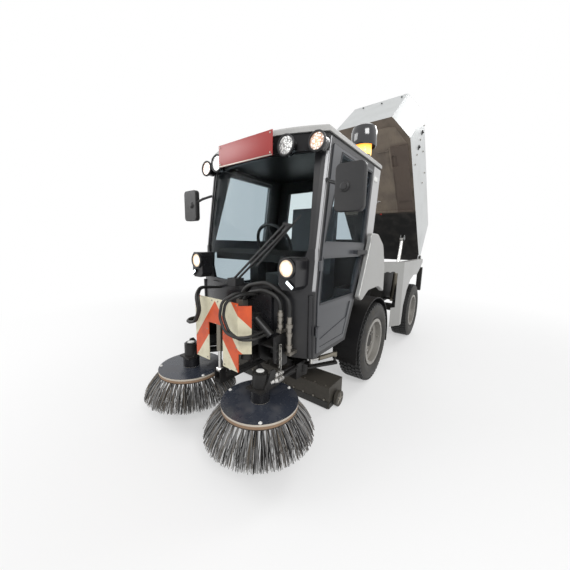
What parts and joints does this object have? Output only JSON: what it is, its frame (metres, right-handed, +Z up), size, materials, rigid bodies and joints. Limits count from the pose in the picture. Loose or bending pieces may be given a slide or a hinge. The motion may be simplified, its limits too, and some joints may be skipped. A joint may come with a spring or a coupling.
{
  "type": "street sweeper",
  "caption": "Compact articulated street sweeper with glazed cab, two disc brushes on swinging arms, suction mouth and a tipping dirt hopper shown raised",
  "frame": {"origin": "on the ground under the middle of the whole vehicle's box, hopper raised", "axes": "+Z up, -Y the way it drives, +X the vehicle's left side"},
  "size_m": [1.644, 4.3873, 3.1942],
  "materials": {
    "cab_paint": "satin",
    "silver_paint": "satin",
    "roof_paint": "satin",
    "sign_paint": "gloss",
    "board_paint": "gloss",
    "frame_paint": "satin",
    "rim_paint": "satin",
    "tyre_rubber": "matt",
    "black_rubber": "matt",
    "black_plastic": "matt",
    "cab_glass": "clear",
    "lamp_glass": "clear",
    "amber_glass": "clear",
    "steel": "satin",
    "cast_metal": "matt",
    "brush_plate": "gloss",
    "bristles": "matt",
    "seat_cloth": "cloth",
    "hopper_floor": "dirty"
  },
  "bodies": {
    "front_unit": {"front_frame": "frame_paint", "cab_frame": "cab_paint", "cab_rear_panel": "silver_paint", "cab_glass": "cab_glass", "cab_roof": "roof_paint", "roof_header": "cab_paint", "lamps": "lamp_glass", "roof_sign": "sign_paint", "beacon_lens": "amber_glass", "beacon_cap": "black_plastic", "dashboard": "black_plastic", "seat": "seat_cloth", "nose_panel": "black_plastic", "mirrors": "black_plastic", "wiper": "black_plastic", "warning_board": "board_paint", "suction_mouth": "black_rubber", "fenders": "silver_paint", "wheel_liners": "black_plastic", "nose_bracket": "frame_paint", "couplings": "steel", "front_hoses": "black_rubber", "chain": "steel"},
    "rear_unit": {"rear_frame": "frame_paint", "body_sides": "silver_paint", "engine_block": "cast_metal"},
    "hopper": {"hopper_shell": "silver_paint", "hopper_floor": "hopper_floor"},
    "lid": {"hopper_lid": "silver_paint"},
    "lift_barrels": {"lift_barrels": "frame_paint"},
    "lift_rods": {"lift_rods": "steel"},
    "steer_barrel": {"steer_barrel": "frame_paint"},
    "steer_rod": {"steer_rod": "steel"},
    "carrier": {"brush_carrier": "frame_paint"},
    "ram_barrel": {"ram_barrel": "silver_paint"},
    "ram_rod": {"ram_rod": "steel"},
    "hand_wheel": {"steering_wheel": "black_plastic"},
    "wheel_front_left": {"tyre_front_left": "tyre_rubber", "rim_front_left": "rim_paint"},
    "wheel_rear_left": {"tyre_rear_left": "tyre_rubber", "rim_rear_left": "rim_paint"},
    "door_left": {"door_left": "cab_paint", "door_glass_left": "cab_glass"},
    "brush_arm_left": {"brush_arm_left": "frame_paint"},
    "brush_left": {"brush_plate_left": "brush_plate", "brush_bristles_left": "bristles"},
    "swing_barrel_left": {"swing_barrel_left": "steel"},
    "swing_rod_left": {"swing_rod_left": "steel"},
    "wheel_front_right": {"tyre_front_right": "tyre_rubber", "rim_front_right": "rim_paint"},
    "wheel_rear_right": {"tyre_rear_right": "tyre_rubber", "rim_rear_right": "rim_paint"},
    "door_right": {"door_right": "cab_paint", "door_glass_right": "cab_glass"},
    "brush_arm_right": {"brush_arm_right": "frame_paint"},
    "brush_right": {"brush_plate_right": "brush_plate", "brush_bristles_right": "bristles"},
    "swing_barrel_right": {"swing_barrel_right": "steel"},
    "swing_rod_right": {"swing_rod_right": "steel"}
  },
  "joints": [
    {"name": "articulation", "type": "hinge", "parent": "front_unit", "child": "rear_unit", "pos_m": [0, 0.294, 0.48], "axis": [0, 0, 1], "range_deg": [-35, 35]},
    {"name": "wheel_front_left_spin", "type": "hinge", "parent": "front_unit", "child": "wheel_front_left", "pos_m": [0.503, -0.516, 0.372], "axis": [1, 0, 0], "continuous": true},
    {"name": "wheel_rear_left_spin", "type": "hinge", "parent": "rear_unit", "child": "wheel_rear_left", "pos_m": [0.503, 1.104, 0.372], "axis": [1, 0, 0], "continuous": true},
    {"name": "door_left_swing", "type": "hinge", "parent": "front_unit", "child": "door_left", "pos_m": [0.568, -1.559, 0.9], "axis": [0, 0, -1], "range_deg": [0, 70]},
    {"name": "arm_swing_left", "type": "hinge", "parent": "carrier", "child": "brush_arm_left", "pos_m": [0.33, -1.347, 0.358], "axis": [0, 0, 1], "range_deg": [0, 30]},
    {"name": "brush_spin_left", "type": "hinge", "parent": "brush_arm_left", "child": "brush_left", "pos_m": [0.36, -1.856, 0.34], "axis": [0, 0, 1], "continuous": true},
    {"name": "swing_barrel_turn_left", "type": "hinge", "parent": "carrier", "child": "swing_barrel_left", "pos_m": [0.488, -1.117, 0.419], "axis": [0, 0, 1], "range_deg": [-5.93, 0]},
    {"name": "swing_rod_slide_left", "type": "slide", "parent": "swing_barrel_left", "child": "swing_rod_left", "axis": [-0.3381, -0.9411, 0], "range_m": [-0.03171, 0]},
    {"name": "wheel_front_right_spin", "type": "hinge", "parent": "front_unit", "child": "wheel_front_right", "pos_m": [-0.503, -0.516, 0.372], "axis": [1, 0, 0], "continuous": true},
    {"name": "wheel_rear_right_spin", "type": "hinge", "parent": "rear_unit", "child": "wheel_rear_right", "pos_m": [-0.503, 1.104, 0.372], "axis": [1, 0, 0], "continuous": true},
    {"name": "door_right_swing", "type": "hinge", "parent": "front_unit", "child": "door_right", "pos_m": [-0.568, -1.559, 0.9], "axis": [0, 0, 1], "range_deg": [0, 70]},
    {"name": "arm_swing_right", "type": "hinge", "parent": "carrier", "child": "brush_arm_right", "pos_m": [-0.33, -1.347, 0.358], "axis": [0, 0, -1], "range_deg": [0, 30]},
    {"name": "brush_spin_right", "type": "hinge", "parent": "brush_arm_right", "child": "brush_right", "pos_m": [-0.36, -1.856, 0.34], "axis": [0, 0, 1], "continuous": true},
    {"name": "swing_barrel_turn_right", "type": "hinge", "parent": "carrier", "child": "swing_barrel_right", "pos_m": [-0.488, -1.117, 0.419], "axis": [0, 0, -1], "range_deg": [-5.93, 0]},
    {"name": "swing_rod_slide_right", "type": "slide", "parent": "swing_barrel_right", "child": "swing_rod_right", "axis": [0.3381, -0.9411, 0], "range_m": [-0.03171, 0]},
    {"name": "hopper_tip", "type": "hinge", "parent": "rear_unit", "child": "hopper", "pos_m": [0, 1.636, 1.098], "axis": [1, 0, 0], "range_deg": [0, 50]},
    {"name": "lid_swing", "type": "hinge", "parent": "hopper", "child": "lid", "pos_m": [0, 2.18136, 1.61174], "axis": [1, 0, 0], "range_deg": [0, 60]},
    {"name": "lift_barrel_turn", "type": "hinge", "parent": "rear_unit", "child": "lift_barrels", "pos_m": [0, 1.071, 0.5], "axis": [1, 0, 0], "range_deg": [0, 1.06]},
    {"name": "lift_rod_slide", "type": "slide", "parent": "lift_barrels", "child": "lift_rods", "axis": [0, 0.3009, 0.9537], "range_m": [-0.34631, 0]},
    {"name": "steer_barrel_turn", "type": "hinge", "parent": "front_unit", "child": "steer_barrel", "pos_m": [0.12, -0.046, 0.61], "axis": [0, 0, 1], "range_deg": [-4.72, 4.72]},
    {"name": "steer_rod_slide", "type": "slide", "parent": "steer_barrel", "child": "steer_rod", "axis": [0, 1, 0], "range_m": [-0.07182, 0.07182]},
    {"name": "hand_wheel_turn", "type": "hinge", "parent": "front_unit", "child": "hand_wheel", "pos_m": [-0.02, -1.317, 1.262], "axis": [0, 0.9044, 0.4267], "range_deg": [-540, 540]},
    {"name": "brush_lift", "type": "hinge", "parent": "front_unit", "child": "carrier", "pos_m": [0, -1.054, 0.392], "axis": [1, 0, 0], "range_deg": [0, 6.3]},
    {"name": "ram_barrel_turn", "type": "hinge", "parent": "front_unit", "child": "ram_barrel", "pos_m": [0, -1.863, 0.806], "axis": [1, 0, 0], "range_deg": [0, 0.423]},
    {"name": "ram_rod_slide", "type": "slide", "parent": "ram_barrel", "child": "ram_rod", "axis": [0, -0.0155, -0.9999], "range_m": [0, 0.09135]}
  ],
  "couplings": [
    {"joint": "swing_barrel_turn_left", "follows": "arm_swing_left", "ratio": -0.19376},
    {"joint": "swing_rod_slide_left", "follows": "arm_swing_left", "m_per_rad": -0.05937},
    {"joint": "swing_barrel_turn_right", "follows": "arm_swing_right", "ratio": -0.19376},
    {"joint": "swing_rod_slide_right", "follows": "arm_swing_right", "m_per_rad": -0.05937},
    {"joint": "lift_barrel_turn", "follows": "hopper_tip", "ratio": 0.020765},
    {"joint": "lift_rod_slide", "follows": "hopper_tip", "m_per_rad": -0.38906},
    {"joint": "steer_barrel_turn", "follows": "articulation", "ratio": 0.13226},
    {"joint": "steer_rod_slide", "follows": "articulation", "m_per_rad": 0.11527},
    {"joint": "ram_barrel_turn", "follows": "brush_lift", "ratio": 0.065766},
    {"joint": "ram_rod_slide", "follows": "brush_lift", "m_per_rad": 0.81451}
  ]
}
